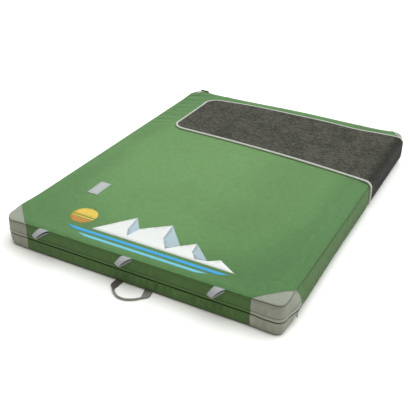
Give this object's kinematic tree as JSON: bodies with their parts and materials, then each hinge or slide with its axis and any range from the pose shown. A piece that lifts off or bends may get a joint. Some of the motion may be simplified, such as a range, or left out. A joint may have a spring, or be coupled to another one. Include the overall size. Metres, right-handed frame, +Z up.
{
  "type": "bouldering crash pad",
  "caption": "Folding foam crash pad lying open, with a zipped cover, carpet boot mat flap, closure loops, straps with hooks, carry handle and harness.",
  "frame": {"origin": "centre of the open pad's underside, on the ground", "axes": "+X along the near edge to the right, +Y from the front half to the back half, +Z up"},
  "size_m": [1.0091, 1.4294, 0.1122],
  "materials": {
    "cover_green": "coated plain-weave nylon, satin",
    "base_fabric": "heavy coated nylon, matt",
    "patch_grey": "coarse ballistic nylon",
    "webbing_grey": "woven polyester webbing",
    "webbing_dark": "woven polyester webbing",
    "carpet": "needle-punched carpet",
    "binding": "grosgrain binding tape",
    "closed_cell_foam": "closed-cell polyethylene foam",
    "open_cell_foam": "open-cell polyurethane foam",
    "padding": "padded air mesh and nylon",
    "zip_nylon": "nylon coil",
    "buckle_plastic": "acetal",
    "zip_metal": "black lacquered die-cast zinc",
    "hook_metal": "brushed, anodised"
  },
  "bodies": {
    "front_half": {"front_top_foam": "closed_cell_foam", "front_core_foam": "open_cell_foam", "front_base_foam": "closed_cell_foam", "front_top_cover": "cover_green", "front_base_cover": "base_fabric", "front_upper_wall": "cover_green", "front_lower_wall": "cover_green", "front_zip_coil": "zip_nylon", "front_zip_tape": "zip_nylon", "near_left_patch_upper": "patch_grey", "near_left_patch_lower": "patch_grey", "near_right_patch_upper": "patch_grey", "near_right_patch_lower": "patch_grey", "label_patch": "webbing_grey"},
    "back_half": {"back_top_foam": "closed_cell_foam", "back_core_foam": "open_cell_foam", "back_base_foam": "closed_cell_foam", "back_top_cover": "cover_green", "back_base_cover": "base_fabric", "back_upper_wall": "cover_green", "back_lower_wall": "cover_green", "back_zip_coil": "zip_nylon", "back_zip_tape": "zip_nylon", "far_left_patch_upper": "patch_grey", "far_left_patch_lower": "patch_grey", "far_right_patch_upper": "patch_grey", "far_right_patch_lower": "patch_grey", "corner_tab": "webbing_dark", "mat_hem": "carpet", "harness_yoke": "padding", "lower_anchors": "webbing_dark"},
    "mat_side": {"mat_side": "carpet", "mat_side_binding": "binding"},
    "mat_top": {"mat_top": "carpet", "mat_top_binding": "binding"},
    "carry_handle": {"carry_handle": "webbing_dark"},
    "zip_slider": {"zip_slider": "zip_metal"},
    "zip_puller": {"zip_puller": "zip_metal"},
    "closure_loop_left": {"closure_loop_left": "webbing_grey"},
    "closure_strap_left": {"closure_strap_left": "webbing_dark"},
    "closure_hook_left": {"closure_hook_left": "hook_metal"},
    "closure_loop_middle": {"closure_loop_middle": "webbing_grey"},
    "closure_strap_middle": {"closure_strap_middle": "webbing_dark"},
    "closure_hook_middle": {"closure_hook_middle": "hook_metal"},
    "closure_loop_right": {"closure_loop_right": "webbing_grey"},
    "closure_strap_right": {"closure_strap_right": "webbing_dark"},
    "closure_hook_right": {"closure_hook_right": "hook_metal"},
    "shoulder_strap_left": {"shoulder_pad_left": "padding", "ladder_lock_left": "buckle_plastic", "adjuster_webbing_left": "webbing_dark"},
    "shoulder_strap_right": {"shoulder_pad_right": "padding", "ladder_lock_right": "buckle_plastic", "adjuster_webbing_right": "webbing_dark"},
    "belt_left": {"belt_wing_left": "padding", "belt_webbing_left": "webbing_dark", "belt_buckle_male": "buckle_plastic"},
    "belt_right": {"belt_wing_right": "padding", "belt_webbing_right": "webbing_dark", "belt_buckle_female": "buckle_plastic"}
  },
  "joints": [
    {"name": "fold", "type": "hinge", "parent": "front_half", "child": "back_half", "pos_m": [0, 0, 0.149], "axis": [1, 0, 0], "range_deg": [0, 178]},
    {"name": "mat_side_hinge", "type": "hinge", "parent": "back_half", "child": "mat_side", "pos_m": [0.5084, 0.384, 0.0091], "axis": [0, 1, 0], "range_deg": [0, 90]},
    {"name": "mat_top_hinge", "type": "hinge", "parent": "mat_side", "child": "mat_top", "pos_m": [0.5006, 0.384, 0.10505], "axis": [0, 1, 0], "range_deg": [0, 90]},
    {"name": "handle_hinge", "type": "hinge", "parent": "front_half", "child": "carry_handle", "pos_m": [0.0075, -0.6675, 0.002], "axis": [-1, 0, 0], "range_deg": [0, 60]},
    {"name": "zip_slide", "type": "slide", "parent": "front_half", "child": "zip_slider", "axis": [0, 1, 0], "range_m": [0, 0.43]},
    {"name": "puller_hinge", "type": "hinge", "parent": "zip_slider", "child": "zip_puller", "pos_m": [0.5057, -0.583, 0.0475], "axis": [0, -1, 0], "range_deg": [0, 110]},
    {"name": "loop_left_hinge", "type": "hinge", "parent": "front_half", "child": "closure_loop_left", "pos_m": [-0.325, -0.668, 0.097], "axis": [-1, 0, 0], "range_deg": [-50, 60]},
    {"name": "loop_middle_hinge", "type": "hinge", "parent": "front_half", "child": "closure_loop_middle", "pos_m": [-0.01, -0.668, 0.097], "axis": [-1, 0, 0], "range_deg": [-50, 60]},
    {"name": "loop_right_hinge", "type": "hinge", "parent": "front_half", "child": "closure_loop_right", "pos_m": [0.305, -0.668, 0.097], "axis": [-1, 0, 0], "range_deg": [-50, 60]},
    {"name": "strap_left_hinge", "type": "hinge", "parent": "back_half", "child": "closure_strap_left", "pos_m": [-0.325, 0.667, 0.096], "axis": [1, 0, 0], "range_deg": [0, 120]},
    {"name": "hook_left_hinge", "type": "hinge", "parent": "closure_strap_left", "child": "closure_hook_left", "pos_m": [-0.325, 0.6709, 0.046], "axis": [1, 0, 0], "range_deg": [0, 60]},
    {"name": "strap_middle_hinge", "type": "hinge", "parent": "back_half", "child": "closure_strap_middle", "pos_m": [-0.01, 0.667, 0.096], "axis": [1, 0, 0], "range_deg": [0, 120]},
    {"name": "hook_middle_hinge", "type": "hinge", "parent": "closure_strap_middle", "child": "closure_hook_middle", "pos_m": [-0.01, 0.6709, 0.046], "axis": [1, 0, 0], "range_deg": [0, 60]},
    {"name": "strap_right_hinge", "type": "hinge", "parent": "back_half", "child": "closure_strap_right", "pos_m": [0.305, 0.667, 0.096], "axis": [1, 0, 0], "range_deg": [0, 120]},
    {"name": "hook_right_hinge", "type": "hinge", "parent": "closure_strap_right", "child": "closure_hook_right", "pos_m": [0.305, 0.6709, 0.046], "axis": [1, 0, 0], "range_deg": [0, 60]},
    {"name": "shoulder_left_hinge", "type": "hinge", "parent": "back_half", "child": "shoulder_strap_left", "pos_m": [-0.35, 0.296, 0.0092], "axis": [0, 1, 0], "range_deg": [0, 25]},
    {"name": "shoulder_right_hinge", "type": "hinge", "parent": "back_half", "child": "shoulder_strap_right", "pos_m": [-0.35, 0.446, 0.0092], "axis": [0, 1, 0], "range_deg": [0, 25]},
    {"name": "belt_left_hinge", "type": "hinge", "parent": "back_half", "child": "belt_left", "pos_m": [0.296, 0.349, 0.0092], "axis": [1, 0, 0], "range_deg": [0, 75]},
    {"name": "belt_right_hinge", "type": "hinge", "parent": "back_half", "child": "belt_right", "pos_m": [0.296, 0.393, 0.0092], "axis": [-1, 0, 0], "range_deg": [0, 75]}
  ]
}
